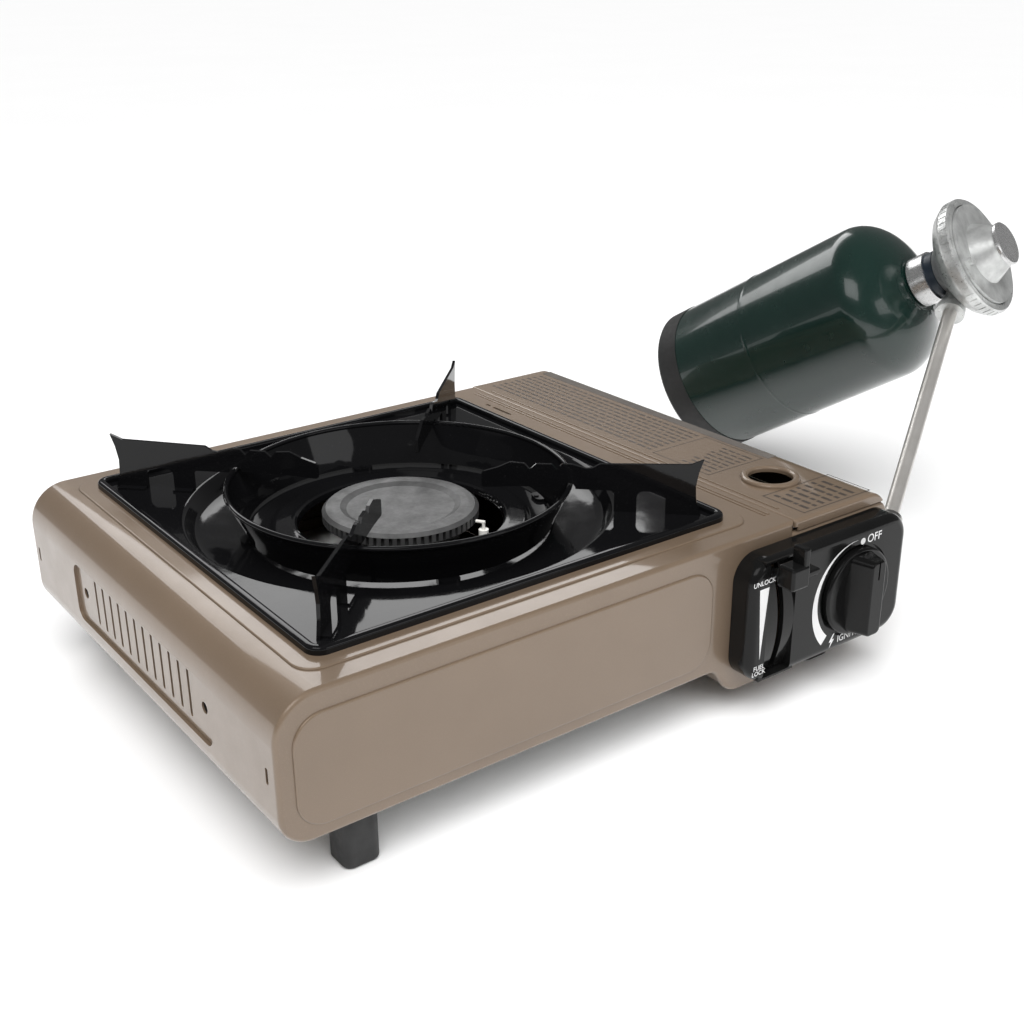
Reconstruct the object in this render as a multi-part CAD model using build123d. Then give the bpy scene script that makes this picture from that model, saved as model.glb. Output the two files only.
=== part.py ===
"""Portable dual-fuel camping stove with a propane cylinder on a rigid feed pipe.

Working frame, in millimetres: X to the right along the front, Y to the back, both from the
middle of the drip pan, and Z up from the table. Every sub-part is drawn there. The last lines
move the whole model so that its origin is the bottom centre of its bounding box.
"""
import os
from math import asin, cos, degrees, radians, sin, sqrt

from build123d import *

# ---------------------------------------------------------------- case
SHEET = 0.8                 # pressed steel sheet
TOP_Z = 90.0                # top plane of the case
LEFT_X = -137.6             # outside of the left end
RIGHT_X = 202.3             # outside of the right end
HALF_DEPTH = 131.0          # front and back faces, either side of the pan's middle
RIM_DEPTH = 3.0             # how far the front and back panels wrap round on to the cover
COVER_HALF = HALF_DEPTH - RIM_DEPTH
BASE_Z = 25.8               # underside of the burner side of the case
TOP_BEND = 19.0             # outside radius from the top into the left end
LOW_BEND = 14.0             # outside radius from the left end into the bottom
SEAM_X = 134.0              # middle of the gap between the top cover and the fuel lid
SEAM_GAP = 0.8
STEP_X = 118.0              # raised land round the pan: half width, half depth, height
STEP_Y = 119.5
STEP_H = 0.8
PAN_HOLE_X = 104.6
PAN_HOLE_Y = 106.5

# left end: shallow recess with louvre slots
RECESS = 1.5
RECESS_Y = (-76.0, 73.8)
RECESS_Z = (41.5, 72.0)
VENT_COUNT = 12
VENT_PITCH = 9.25
VENT_FIRST_Y = 49.2
VENT_Z = (47.0, 69.4)
VENT_WIDTH = 2.2
END_HOLE_Y = (63.0, -66.9)
END_HOLE_R = 2.6
TAB_SLOT_Y = (124.4, -123.2)

# ---------------------------------------------------------------- fuel bay
BAY_Z = 11.0                # underside of the bay floor
BAY_BEND = 20.0
BAY_LEFT_X = 98.0
SILL_Z = 84.0               # top of the front panel under the fuel lid
REAR_SILL_Z = 82.0
WALL_TOP_Z = 67.6           # top of the fixed right wall
SHIELD_X = 128.0            # left face of the heat shield beside the bay
CANISTER_X = 165.5
CANISTER_Z = 47.5
CANISTER_R = 34.0

# ---------------------------------------------------------------- fuel lid
LID_FLANGE_Z = 68.0         # lower edge of the lid's side flange
LID_BEND = 15.0
LID_BACK_Y = 130.6
HINGE_Y = 127.3
HINGE_Z = 86.6
HINGE_PIN_R = 1.25
RUNNING = 0.05              # radial clearance of a running fit
VIEW_HOLE = (165.0, -86.0)
VIEW_HOLE_R = 11.1
VIEW_RIM_R = 15.0
VIEW_RIM_H = 2.0

# ---------------------------------------------------------------- control panel
PANEL_FRONT_Y = -144.0
PANEL_X = (94.7, RIGHT_X)
PANEL_Z = (19.8, 82.6)
PANEL_CORNER = 13.0
PANEL_WALL = 2.5
KNOB_X = 165.5
KNOB_Z = 50.3
KNOB_R = 22.2
KNOB_FACE_Y = -147.0
KNOB_GRIP_Y = -157.5
SPINDLE_R = 3.0
LEVER_X = 114.0
LEVER_PIVOT_Y = -77.0
LEVER_PIVOT_Z = 48.0
LEVER_REST = 20.9           # degrees above level at UNLOCK
LEVER_SWEEP = 38.0
LEVER_THICK = 1.8

# ---------------------------------------------------------------- drip pan, ring and supports
PAN_X = 109.65
PAN_Y = 112.2
SHELF_Z = TOP_Z + STEP_H + SHEET
BEAD_W = 4.2
BEAD_TOP_Z = 94.4
WELL_R = 103.0              # edge of the pan's round well
WELL_FLOOR_Z = 81.7
PAN_BORE_R = 49.4
RING_R = 83.2
RING_TOP_Z = 104.1
RING_FOOT_R = 74.0          # outside of the wind ring at its lower edge
RING_FOOT_Z = 83.2
RING_TURN = -16.0           # degrees from +X to the first of the ring's four tabs
ARM_THICK = 1.6
ARM_COUNT = 4

# ---------------------------------------------------------------- burner
BURNER_R = 37.8
BURNER_TEETH = 64
TUBE_R = 6.0                # outside of the mixing tube
FEED_Z = 36.0               # height of the mixing tube

# ---------------------------------------------------------------- feet
LEFT_FOOT_X = -100.0
RIGHT_FOOT_X = 172.0
FOOT_Y = 117.5

# ---------------------------------------------------------------- propane unit
SWIVEL_Y = -118.0           # axis of the swivel elbow in the right wall, along X
SWIVEL_Z = 57.0
ELBOW_X = 220.0
PIPE_R = 4.0
NECK = Vector(359.4, -16.1, 147.2)      # where the cylinder's neck enters the regulator
CYLINDER_HEADING = 105.1                # degrees from +X, seen from above, neck to base
CYLINDER_TILT = 31.5                    # degrees below level, neck to base
PORT_ALONG = 20.0                       # pipe port: along the axis from the neck
PORT_OFFSET = Vector(-12.0, -15.8, -19.9)
CYLINDER_R = 49.2
CYLINDER_LENGTH = 165.5
WALL = 1.0
COLLAR_R = 15.3
VENT_TURN = 280.0             # turn of the vent boss about the regulator's axis
BAND_END = 19.5             # where the casting starts, along the axis from the neck
HOUSING_TOP = 57.8          # end of the tapered spring housing
RIM_R = 35.6


# ---------------------------------------------------------------- helpers
def block(x0, x1, y0, y1, z0, z1):
    """Box between two corners."""
    middle = Pos((x0 + x1) / 2, (y0 + y1) / 2, (z0 + z1) / 2)
    return middle * Box(x1 - x0, y1 - y0, z1 - z0)


def prism_x(face, x0, x1):
    """A face drawn in Y and Z, pulled from x0 to x1."""
    return extrude(Plane(origin=(x0, 0, 0), x_dir=(0, 1, 0), z_dir=(1, 0, 0)) * face, x1 - x0)


def prism_y(face, y0, y1):
    """A face drawn in X and Z, pulled from y1 forward to y0."""
    return extrude(Plane(origin=(0, y1, 0), x_dir=(1, 0, 0), z_dir=(0, -1, 0)) * face, y1 - y0)


def prism_z(face, z0, z1):
    """A face drawn in X and Y, pulled from z0 to z1."""
    return extrude(Pos(0, 0, z0) * face, z1 - z0)


def rounded(u0, u1, v0, v1, radius):
    """Rounded rectangle between two corners."""
    return Pos((u0 + u1) / 2, (v0 + v1) / 2) * RectangleRounded(u1 - u0, v1 - v0, radius)


def disc(u, v, radius):
    """Filled circle."""
    return Pos(u, v) * Circle(radius)


def outline(points, radii):
    """Closed face with its inner corners rounded; the first and last points stay sharp."""
    path = FilletPolyline(*points, radius=radii)
    return make_face(path + Line(points[-1], points[0]))


def rod(radius, start, end, bore=0.0):
    """Round bar between two points, with an optional bore."""
    start = Vector(*start)
    span = Vector(*end) - start
    section = Circle(radius)
    if bore:
        section -= Circle(bore)
    return extrude(Plane(origin=start, z_dir=span) * section, span.length)


def turned(points):
    """Solid of revolution about Z from (radius, height) points."""
    return revolve(Plane.XZ * make_face(Polyline(*points, close=True)), Axis.Z)


def soften(solid, edges, radius):
    """Round the given edges, or leave them sharp where the kernel can't."""
    try:
        return fillet(edges, radius)
    except (ValueError, RuntimeError):
        print("left sharp:", radius)
        return solid


# ---------------------------------------------------------------- case
def cover_face(inset):
    """Section of the top cover and left end, shrunk by inset."""
    corners = [
        (SEAM_X - SEAM_GAP / 2, TOP_Z - inset),
        (LEFT_X + inset, TOP_Z - inset),
        (LEFT_X + inset, BASE_Z + inset),
        (SEAM_X - SEAM_GAP / 2, BASE_Z + inset),
    ]
    return outline(corners, [TOP_BEND - inset, LOW_BEND - inset])


def make_top_cover():
    """Top plate and left end in one bent sheet, with the pan opening and the louvres."""
    lip_x = -112.0
    wrap = prism_y(cover_face(0) - cover_face(SHEET), -COVER_HALF, COVER_HALF)
    wrap -= block(lip_x, SEAM_X + 1, -HALF_DEPTH, HALF_DEPTH, BASE_Z - 1, TOP_Z - SHEET)
    flange_x = SEAM_X - SEAM_GAP / 2
    wrap += block(flange_x - SHEET, flange_x, -COVER_HALF, COVER_HALF, TOP_Z - 5, TOP_Z)

    land = prism_z(rounded(-STEP_X, STEP_X, -STEP_Y, STEP_Y, 10), TOP_Z - SHEET, TOP_Z + STEP_H)
    land = soften(land, land.faces().sort_by(Axis.Z)[-1].edges(), STEP_H * 0.9)
    wrap += land
    inner = (STEP_X - 1.4, STEP_Y - 1.4)
    wrap -= prism_z(rounded(-inner[0], inner[0], -inner[1], inner[1], 9), TOP_Z - 2, TOP_Z)
    hole = rounded(-PAN_HOLE_X, PAN_HOLE_X, -PAN_HOLE_Y, PAN_HOLE_Y, 8)
    wrap -= prism_z(hole, TOP_Z - 5, TOP_Z + 5)

    mouth = rounded(*RECESS_Y, *RECESS_Z, 7)
    back_x = LEFT_X + RECESS
    wrap -= prism_x(mouth, LEFT_X - 1, back_x + SHEET)
    frame = mouth - offset(mouth, -SHEET)
    wrap += prism_x(frame, LEFT_X, back_x + SHEET)
    wrap += prism_x(mouth, back_x, back_x + SHEET)
    for index in range(VENT_COUNT):
        middle = VENT_FIRST_Y - index * VENT_PITCH
        slot = rounded(middle - VENT_WIDTH / 2, middle + VENT_WIDTH / 2, *VENT_Z, VENT_WIDTH * 0.48)
        wrap -= prism_x(slot, LEFT_X - 2, LEFT_X + 5)
    for middle in END_HOLE_Y:
        wrap -= prism_x(disc(middle, 57.8, END_HOLE_R), LEFT_X - 2, LEFT_X + 5)
    for middle in TAB_SLOT_Y:
        wrap -= prism_x(rounded(middle - 1, middle + 1, 52.6, 59.8, 0.9), LEFT_X - 2, LEFT_X + 5)
    for y0, length in ((74.0, 17.0), (94.0, 4.0)):
        wrap -= prism_z(rounded(120.5, 122.3, y0, y0 + length, 0.8), TOP_Z - 2, TOP_Z + 1)
    for x in (127.6, 130.0):
        bead = block(x - 0.6, x + 0.6, -118, 118, TOP_Z - 0.3, TOP_Z + 0.5)
        wrap += soften(bead, bead.faces().sort_by(Axis.Z)[-1].edges(), 0.45)
    for y in (-FOOT_Y, FOOT_Y):
        wrap -= rod(2.0, (LEFT_FOOT_X - 20, y, BASE_Z - 1), (LEFT_FOOT_X - 20, y, BASE_Z + 2))
    return wrap


def end_face(sill_z):
    """Outline of the front and back panels: case, step under the lid and deep fuel bay."""
    corners = [
        (SEAM_X - SEAM_GAP / 2, TOP_Z),
        (LEFT_X, TOP_Z),
        (LEFT_X, BASE_Z),
        (BAY_LEFT_X - 11.5, BASE_Z),
        (BAY_LEFT_X - 1, BAY_Z),
        (RIGHT_X, BAY_Z),
        (RIGHT_X, sill_z),
        (SEAM_X - SEAM_GAP / 2, sill_z),
    ]
    return outline(corners, [TOP_BEND, LOW_BEND, 7, 12, BAY_BEND, 8])


def make_end_panel(sill_z):
    """Dished end panel, drawn as the front one: face, rolled edge and raised field."""
    face = end_face(sill_z)
    shell = prism_y(face, -HALF_DEPTH, -COVER_HALF)
    rim = shell.faces().sort_by(Axis.Y)[0].edges()
    shell = soften(shell, rim, 2.0)
    shell -= prism_y(offset(face, -SHEET), -HALF_DEPTH + SHEET, -COVER_HALF)
    field = rounded(LEFT_X + 7.2, 82.0, 32.0, TOP_Z - 9.2, 13)
    raised = prism_y(field, -HALF_DEPTH - 1, -HALF_DEPTH + SHEET)
    raised = soften(raised, raised.faces().sort_by(Axis.Y)[0].edges(), 0.9)
    shell += raised
    shell -= prism_y(offset(field, -SHEET), -HALF_DEPTH - 1 + SHEET, -HALF_DEPTH + SHEET)
    return shell


def make_front_panel():
    """Front panel with the holes for the lever, the spindle and the fascia's screws."""
    panel = make_end_panel(SILL_Z)
    panel -= prism_y(rounded(LEVER_X - 5, LEVER_X + 5, 20, 81, 2), -134, -126)
    panel -= prism_y(disc(KNOB_X, KNOB_Z, 6.0), -134, -126)
    return panel


def make_rear_panel():
    """Rear panel: the front one turned to the back, with three rows of air slots."""
    panel = mirror(make_end_panel(REAR_SILL_Z), Plane.XZ)
    for row in range(3):
        for column in range(9):
            x = -100 + column * 18
            z = 44 + row * 11
            panel -= prism_y(rounded(x, x + 12, z, z + 3, 1.4), 126, 134)
    for x in HINGE_LUGS:
        panel -= block(x - 0.2, x + 1.2, 120, HALF_DEPTH - SHEET, 78, REAR_SILL_Z + 1)
    return panel


def make_base_tray():
    """Flat bottom plate of the burner side, with air holes under the burner."""
    half = COVER_HALF - 0.1
    tray = block(-122, BAY_LEFT_X - 11, -half, half, BASE_Z + SHEET, BASE_Z + 2 * SHEET)
    ring = [Pos(48 * cos(radians(a)), 48 * sin(radians(a)), BASE_Z) for a in range(0, 360, 30)]
    for place in ring:
        tray -= place * Cylinder(6, 10)
    tray -= Pos(0, 0, BASE_Z) * Cylinder(14, 10)
    return tray


def bay_face():
    """Outside of the fuel bay's floor and right wall."""
    corners = [
        (BAY_LEFT_X - 10.5, WALL_TOP_Z),
        (BAY_LEFT_X - 10.5, BASE_Z + SHEET),
        (BAY_LEFT_X, BAY_Z),
        (RIGHT_X, BAY_Z),
        (RIGHT_X, WALL_TOP_Z),
    ]
    return outline(corners, [4, 12, BAY_BEND])


def make_fuel_bay_floor():
    """Deep trough under the fuel canister, with the right wall and its drain slots."""
    face = bay_face()
    inside = offset(face, -SHEET) + rounded(BAY_LEFT_X - 9.7, RIGHT_X - SHEET, 55, WALL_TOP_Z + 3, 0.5)
    trough = prism_y(face - inside, -COVER_HALF, COVER_HALF)
    trough -= block(BAY_LEFT_X - 12, BAY_LEFT_X - 9, -140, 140, BASE_Z + 2 * SHEET, WALL_TOP_Z + 2)
    trough -= rod(6.5, (RIGHT_X - 5, SWIVEL_Y, SWIVEL_Z), (RIGHT_X + 5, SWIVEL_Y, SWIVEL_Z))
    for index in range(5):
        y = -20 + index * 26
        trough -= prism_z(rounded(148, 182, y, y + 4, 1.9), BAY_Z - 2, BAY_Z + 4)
    return trough


def make_heat_shield():
    """Upright sheet between the burner and the fuel bay, with a flange under the cover."""
    right = SHIELD_X + SHEET
    floor_z = BAY_Z + SHEET
    top = TOP_Z - 2 * SHEET
    sheet = block(SHIELD_X, right, -COVER_HALF + 0.1, COVER_HALF - 0.1, floor_z, top)
    sheet += block(SHIELD_X - 8, right, -117, 117, top, top + SHEET)
    sheet -= prism_x(disc(mixer_point(SHIELD_X).Y, FEED_Z, 12.5), SHIELD_X - 1, right + 1)
    sheet -= prism_x(rounded(-80, -50, 50, 64, 2), SHIELD_X - 1, right + 1)
    sheet -= prism_x(disc(LEAD_POINTS[0][1], LEAD_POINTS[0][2], 2.5), SHIELD_X - 1, right + 1)
    return sheet


# ---------------------------------------------------------------- fuel lid
def make_fuel_lid():
    """Hinged lid over the fuel bay: bent down the right side, with a rimmed view hole."""
    left = SEAM_X + SEAM_GAP / 2

    def section(inset):
        corners = [
            (left + inset, LID_FLANGE_Z),
            (left + inset, TOP_Z - inset),
            (RIGHT_X - inset, TOP_Z - inset),
            (RIGHT_X - inset, LID_FLANGE_Z),
        ]
        return outline(corners, [1.2, LID_BEND - inset])

    lid = prism_y(section(0), -HALF_DEPTH, LID_BACK_Y)
    front = lid.faces().sort_by(Axis.Y)[0].edges()
    lid = soften(lid, [e for e in front if e.center().Z > LID_FLANGE_Z + 1], 2.0)
    hollow = section(SHEET) + rounded(left + SHEET, RIGHT_X - SHEET, LID_FLANGE_Z - 5, 74, 0.5)
    lid -= prism_y(hollow, -HALF_DEPTH + SHEET, LID_BACK_Y + 1)
    front_y = -COVER_HALF + 0.4
    back_y = COVER_HALF - 0.4
    lid -= block(left - 1, RIGHT_X + 1, -HALF_DEPTH - 1, front_y, LID_FLANGE_Z - 1, SILL_Z + 0.4)
    lid -= block(left - 1, RIGHT_X + 1, back_y, HALF_DEPTH + 1, LID_FLANGE_Z - 1, REAR_SILL_Z + 0.6)
    lid -= block(left - 1, left + 2, -HALF_DEPTH - 1, LID_BACK_Y + 1, LID_FLANGE_Z - 1, TOP_Z - 3.6)

    rim = Pos(*VIEW_HOLE, TOP_Z + VIEW_RIM_H / 2 - 0.2) * Cylinder(VIEW_RIM_R, VIEW_RIM_H + 0.4)
    rim -= Pos(*VIEW_HOLE, TOP_Z) * Cylinder(VIEW_HOLE_R, 10)
    lid += soften(rim, rim.faces().sort_by(Axis.Z)[-1].edges(), 1.5)
    lid -= Pos(*VIEW_HOLE, TOP_Z) * Cylinder(VIEW_HOLE_R, 10)
    bead = block(left + 3.4, left + 4.8, -116, 116, TOP_Z - 0.3, TOP_Z + 0.5)
    lid += soften(bead, bead.faces().sort_by(Axis.Z)[-1].edges(), 0.45)

    for x in HINGE_EARS:
        ear = prism_x(disc(HINGE_Y, HINGE_Z, 2.6), x, x + 1)
        ear += block(x, x + 1, HINGE_Y - 2.6, HINGE_Y + 2.6, HINGE_Z, TOP_Z - SHEET)
        ear -= prism_x(disc(HINGE_Y, HINGE_Z, HINGE_PIN_R + RUNNING), x - 1, x + 2)
        lid += ear
    return lid


HINGE_EARS = (140.0, 182.0)         # left faces of the lid's ears
HINGE_LUGS = (141.4, 180.6)         # left faces of the brackets' lugs


def make_hinge_brackets():
    """Two brackets on the rear panel that hold the lid's hinge pins."""
    brackets = []
    for x in HINGE_LUGS:
        lug = block(x, x + 1, 118, COVER_HALF + 2.2, 70, 81)
        lug += block(x, x + 1, HINGE_Y - 1.7, HINGE_Y + 1.7, 80, HINGE_Z)
        lug += prism_x(disc(HINGE_Y, HINGE_Z, 2.4), x, x + 1)
        lug += block(x, x + 8, COVER_HALF + 1.4, COVER_HALF + 2.2, 70, 81)
        lug -= prism_x(disc(HINGE_Y, HINGE_Z, HINGE_PIN_R), x - 1, x + 2)
        brackets.append(lug)
    return brackets


def make_hinge_pins():
    """Two steel pins, one through each lid ear and its bracket."""
    pins = []
    for ear, lug in zip(HINGE_EARS, HINGE_LUGS):
        start = min(ear, lug) - 0.6
        end = max(ear, lug) + 1.6
        pins.append(rod(HINGE_PIN_R, (start, HINGE_Y, HINGE_Z), (end, HINGE_Y, HINGE_Z)))
    return pins


def make_lid_catch():
    """Spring catch on the front sill that the lid's front flange clips over."""
    catch = block(180, 192, -127.9, -127.1, 66, 83)
    catch += block(180, 192, -129.4, -127.1, 82.2, 83)
    return catch


# ---------------------------------------------------------------- control panel
def make_control_panel():
    """Moulded fascia: hollow shell, knob pocket, and a bowed channel with the lever slot."""
    face = rounded(*PANEL_X, *PANEL_Z, PANEL_CORNER)
    shell = prism_y(face, PANEL_FRONT_Y, -HALF_DEPTH - 0.05)
    shell = soften(shell, shell.faces().sort_by(Axis.Y)[0].edges(), 4.5)
    shell -= prism_y(offset(face, -PANEL_WALL), PANEL_FRONT_Y + PANEL_WALL, -HALF_DEPTH)

    bow = LEVER_PIVOT_Y - PANEL_FRONT_Y
    channel = block(LEVER_X - 9.0, LEVER_X + 9.0, PANEL_FRONT_Y - 20, -HALF_DEPTH, PANEL_Z[0] + 2, PANEL_Z[1] - 2)
    pivot = (LEVER_PIVOT_Y, LEVER_PIVOT_Z)
    bowed = prism_x(disc(*pivot, bow), LEVER_X - 9.0, LEVER_X + 9.0)
    inner = prism_x(disc(*pivot, bow - PANEL_WALL), LEVER_X - 12, LEVER_X + 12)
    liner = block(LEVER_X - 11.5, LEVER_X + 11.5, PANEL_FRONT_Y + 0.6, -HALF_DEPTH - 0.05,
                  PANEL_Z[0] + 1, PANEL_Z[1] - 1)
    shell += liner - inner - block(90, 130, -200, -125, 0, PANEL_Z[0] + 1)
    shell -= channel - bowed
    slot = rounded(LEVER_X - 2.0, LEVER_X + 2.0, 23, 78.4, 1.9)
    shell -= prism_y(slot, PANEL_FRONT_Y - 2, -125)

    pocket = prism_y(disc(KNOB_X, KNOB_Z, KNOB_R + 1.6), PANEL_FRONT_Y - 2, PANEL_FRONT_Y + 1.4)
    shell -= pocket
    shell -= prism_y(disc(KNOB_X, KNOB_Z, 7.5), PANEL_FRONT_Y - 2, -125)
    return shell


def make_ignition_knob():
    """Rotary knob: dished disc with a raised grip bar and a groove as the pointer."""
    body = prism_y(disc(KNOB_X, KNOB_Z, KNOB_R), KNOB_FACE_Y, PANEL_FRONT_Y + 0.6)
    body = soften(body, body.faces().sort_by(Axis.Y)[0].edges(), 1.4)
    dish = Pos(KNOB_X, KNOB_FACE_Y - 68, KNOB_Z) * Sphere(70)
    body -= dish
    foot = Plane(origin=(0, PANEL_FRONT_Y, 0), x_dir=(1, 0, 0), z_dir=(0, -1, 0))
    nose = Plane(origin=(0, KNOB_GRIP_Y, 0), x_dir=(1, 0, 0), z_dir=(0, -1, 0))
    wide = foot * rounded(KNOB_X - 9, KNOB_X + 9, KNOB_Z - 20.4, KNOB_Z + 20.4, 4)
    narrow = nose * rounded(KNOB_X - 4.8, KNOB_X + 4.8, KNOB_Z - 19.4, KNOB_Z + 19.4, 3)
    grip = loft([wide, narrow])
    grip = soften(grip, grip.faces().sort_by(Axis.Y)[0].edges(), 1.2)
    body += grip
    body -= block(KNOB_X - 0.5, KNOB_X + 0.5, KNOB_GRIP_Y - 1, KNOB_GRIP_Y + 0.7, KNOB_Z + 10, KNOB_Z + 21)
    body += prism_y(disc(KNOB_X, KNOB_Z, 6.5), PANEL_FRONT_Y, PANEL_FRONT_Y + 5)
    body -= prism_y(disc(KNOB_X, KNOB_Z, SPINDLE_R), PANEL_FRONT_Y - 6, PANEL_FRONT_Y + 6)
    return body


CAM_START_R = 6.0
CAM_LIFT = 4.0
KNOB_SWEEP = 140.0
CAM_Y = (-127.0, -123.0)
CAM_MIDDLE = -125.0
PLUNGER_R = 3.5


def make_valve_spindle():
    """Steel spindle with the spiral cam that pushes the igniter's plunger down."""
    spindle = prism_y(disc(KNOB_X, KNOB_Z, SPINDLE_R), PANEL_FRONT_Y - 6, -112)
    rim = []
    for angle in range(0, 360, 10):
        lift = CAM_LIFT * min(angle, KNOB_SWEEP) / KNOB_SWEEP
        if angle > 200:
            lift = CAM_LIFT * (360 - angle) / 160
        heading = radians(-90 - angle)
        radius = CAM_START_R + lift
        rim.append((KNOB_X + radius * cos(heading), KNOB_Z + radius * sin(heading)))
    cam = prism_y(make_face(Polyline(*rim, close=True)), *CAM_Y)
    return spindle + cam


def lever_point(length, lift=0.0):
    """Point (y, z) on the lever, length out from its pivot and lift above its centre line."""
    angle = radians(LEVER_REST)
    y = LEVER_PIVOT_Y - length * cos(angle) + lift * sin(angle)
    z = LEVER_PIVOT_Z + length * sin(angle) + lift * cos(angle)
    return y, z


def lever_blade():
    """Side view of the lever's blade."""
    corners = [lever_point(0, 3), lever_point(76, 3), lever_point(76, -3), lever_point(0, -3)]
    return make_face(Polyline(*corners, close=True))


def make_lock_lever():
    """Steel lever on a cross pivot, with a crank pin for the canister slider."""
    half = LEVER_THICK / 2
    lever = prism_x(lever_blade(), LEVER_X - half, LEVER_X + half)
    lever += prism_x(disc(LEVER_PIVOT_Y, LEVER_PIVOT_Z, 4.8), LEVER_X - half, LEVER_X + half)
    crank = crank_point()
    arm = make_face(Polyline((LEVER_PIVOT_Y - 3, LEVER_PIVOT_Z), (crank[0] - 2.4, crank[1]),
                             (crank[0] + 2.4, crank[1]), (LEVER_PIVOT_Y + 5, LEVER_PIVOT_Z), close=True))
    lever += prism_x(arm, LEVER_X - half, LEVER_X + half)
    lever += prism_x(disc(*crank, 2.4), LEVER_X - half, LEVER_X + half)
    lever += prism_x(disc(*crank, 1.4), LEVER_X, LEVER_X + 6.6)
    lever -= prism_x(disc(LEVER_PIVOT_Y, LEVER_PIVOT_Z, 2.0 + RUNNING), LEVER_X - 3, LEVER_X + 3)
    return lever


CRANK = 9.5


def crank_point():
    """Crank pin at UNLOCK: as far behind upright as it will be in front of it at LOCK."""
    angle = radians(LEVER_SWEEP / 2)
    return LEVER_PIVOT_Y + CRANK * sin(angle), LEVER_PIVOT_Z + CRANK * cos(angle)


def make_lever_cap():
    """Black thumb piece on the lever: block, upright fin and side wing."""
    y0, z0 = -157.0, 71.0
    cap = block(LEVER_X - 8.5, LEVER_X + 3.0, y0, y0 + 10, z0, z0 + 11)
    cap = soften(cap, cap.edges(), 1.6)
    fin = block(LEVER_X - 0.8, LEVER_X + 3.0, y0 + 0.6, y0 + 8.5, z0 + 5, z0 + 19)
    cap += soften(fin, fin.edges(), 1.0)
    wing = block(LEVER_X + 1.5, LEVER_X + 10.5, y0 + 0.8, y0 + 8.2, z0 + 4.2, z0 + 7.2)
    cap += soften(wing, wing.edges(), 1.0)
    half = LEVER_THICK / 2
    return cap - prism_x(lever_blade(), LEVER_X - half, LEVER_X + half)


def make_lever_pivot():
    """Flanged pivot pin of the lock lever, riveted to the heat shield."""
    pin = prism_x(disc(LEVER_PIVOT_Y, LEVER_PIVOT_Z, 2.0), LEVER_X - 4, SHIELD_X)
    for x0, x1 in ((LEVER_X - 4, LEVER_X - 2), (LEVER_X + 2, LEVER_X + 3.5), (SHIELD_X - 1.5, SHIELD_X)):
        radius = 4.5 if x1 == SHIELD_X else 3.2
        pin += prism_x(disc(LEVER_PIVOT_Y, LEVER_PIVOT_Z, radius), x0, x1)
    return pin


# ---------------------------------------------------------------- canister slider
FORK_Y = -57.0
SLIDER_TRAVEL = 2 * CRANK * sin(radians(LEVER_SWEEP / 2))


def make_canister_slider():
    """Fork that holds the canister's collar, on a foot plate, with an arm to the lever."""
    plate = prism_y(rounded(133, 196, 14.4, 62, 12), FORK_Y, FORK_Y + 1.5)
    plate -= prism_y(disc(CANISTER_X, CANISTER_Z, 17.5), FORK_Y - 1, FORK_Y + 3)
    plate -= block(CANISTER_X - 17.5, CANISTER_X + 17.5, FORK_Y - 1, FORK_Y + 3, CANISTER_Z, 70)
    foot = block(143, 178, FORK_Y - 10, FORK_Y + 1.5, BAY_Z + SHEET + 0.3, BAY_Z + SHEET + 1.5)
    web = block(146, 176, FORK_Y, FORK_Y + 1.5, BAY_Z + SHEET + 0.4, 16)
    crank = crank_point()
    arm = block(LEVER_X + 2.6, 136, FORK_Y, FORK_Y + 1.5, 52.5, 61)
    finger = block(LEVER_X + 2.6, LEVER_X + 5.2, crank[0] - 4, FORK_Y + 1.5, 52.5, 61)
    notch = block(LEVER_X + 2, LEVER_X + 6, crank[0] - 1.7, crank[0] + 1.7, 50, 59.6)
    return plate + foot + web + arm + finger - notch


def make_guide_rails():
    """Two rails on the bay floor that keep the slider's foot plate straight."""
    rails = []
    z0 = BAY_Z + SHEET
    for x in (139.4, 178.4):
        rails.append(block(x, x + 3.2, -78, -40, z0, z0 + 2.2))
    return rails


# ---------------------------------------------------------------- gas train
def mixer_point(x):
    """Point on the mixing tube's axis, which runs level from the valve to the burner."""
    y = -88.0 * x / 131.0
    return Vector(x, y, FEED_Z)


def make_gas_valve():
    """Zinc valve and pressure regulator block with the cup that receives the canister."""
    body = block(149, 182, -118, -82, 29, 67)
    body = soften(body, body.edges().filter_by(Axis.Y), 6)
    body += prism_y(disc(CANISTER_X, CANISTER_Z, 14.5), -82, -72)
    body += rod(13, (165.5, -102, 60), (165.5, -102, 74))
    body -= prism_y(disc(CANISTER_X, CANISTER_Z, 10.5), -78, -71)
    body -= prism_y(disc(KNOB_X, KNOB_Z, SPINDLE_R + RUNNING), -119, -111)
    body += rod(6, mixer_point(152), mixer_point(146))
    return body


def make_gas_nozzle():
    """Brass jet that aims along the mixing tube."""
    jet = rod(4, mixer_point(146), mixer_point(139), bore=0.8)
    return jet


def make_mixing_tube():
    """Aluminised venturi tube from the jet to the burner base, with a bell mouth."""
    start = mixer_point(134)
    throat = mixer_point(121)
    end = mixer_point(22)
    tube = rod(TUBE_R, throat, end, bore=TUBE_R - SHEET)
    span = throat - start
    mouth = Plane(origin=start, z_dir=span)
    neck = Plane(origin=throat, z_dir=span)
    bell = loft([mouth * Circle(9.0), neck * Circle(TUBE_R)])
    bell -= loft([mouth * Circle(9.0 - SHEET), neck * Circle(TUBE_R - SHEET)])
    return tube + bell


def make_burner_base():
    """Cast cup under the burner head, with the mixing tube's side boss."""
    cup = turned([(0, 28.4), (24, 28.4), (28, 33), (28, 74), (31, 78), (26, 78), (25, 72), (25, 34), (22, 31), (0, 31)])
    boss = rod(7.6, mixer_point(20), mixer_point(31))
    boss -= turned([(0, 20), (25, 20), (25, 80), (0, 80)])
    cup += boss
    cup -= rod(TUBE_R, mixer_point(12), mixer_point(40))
    return cup


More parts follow.
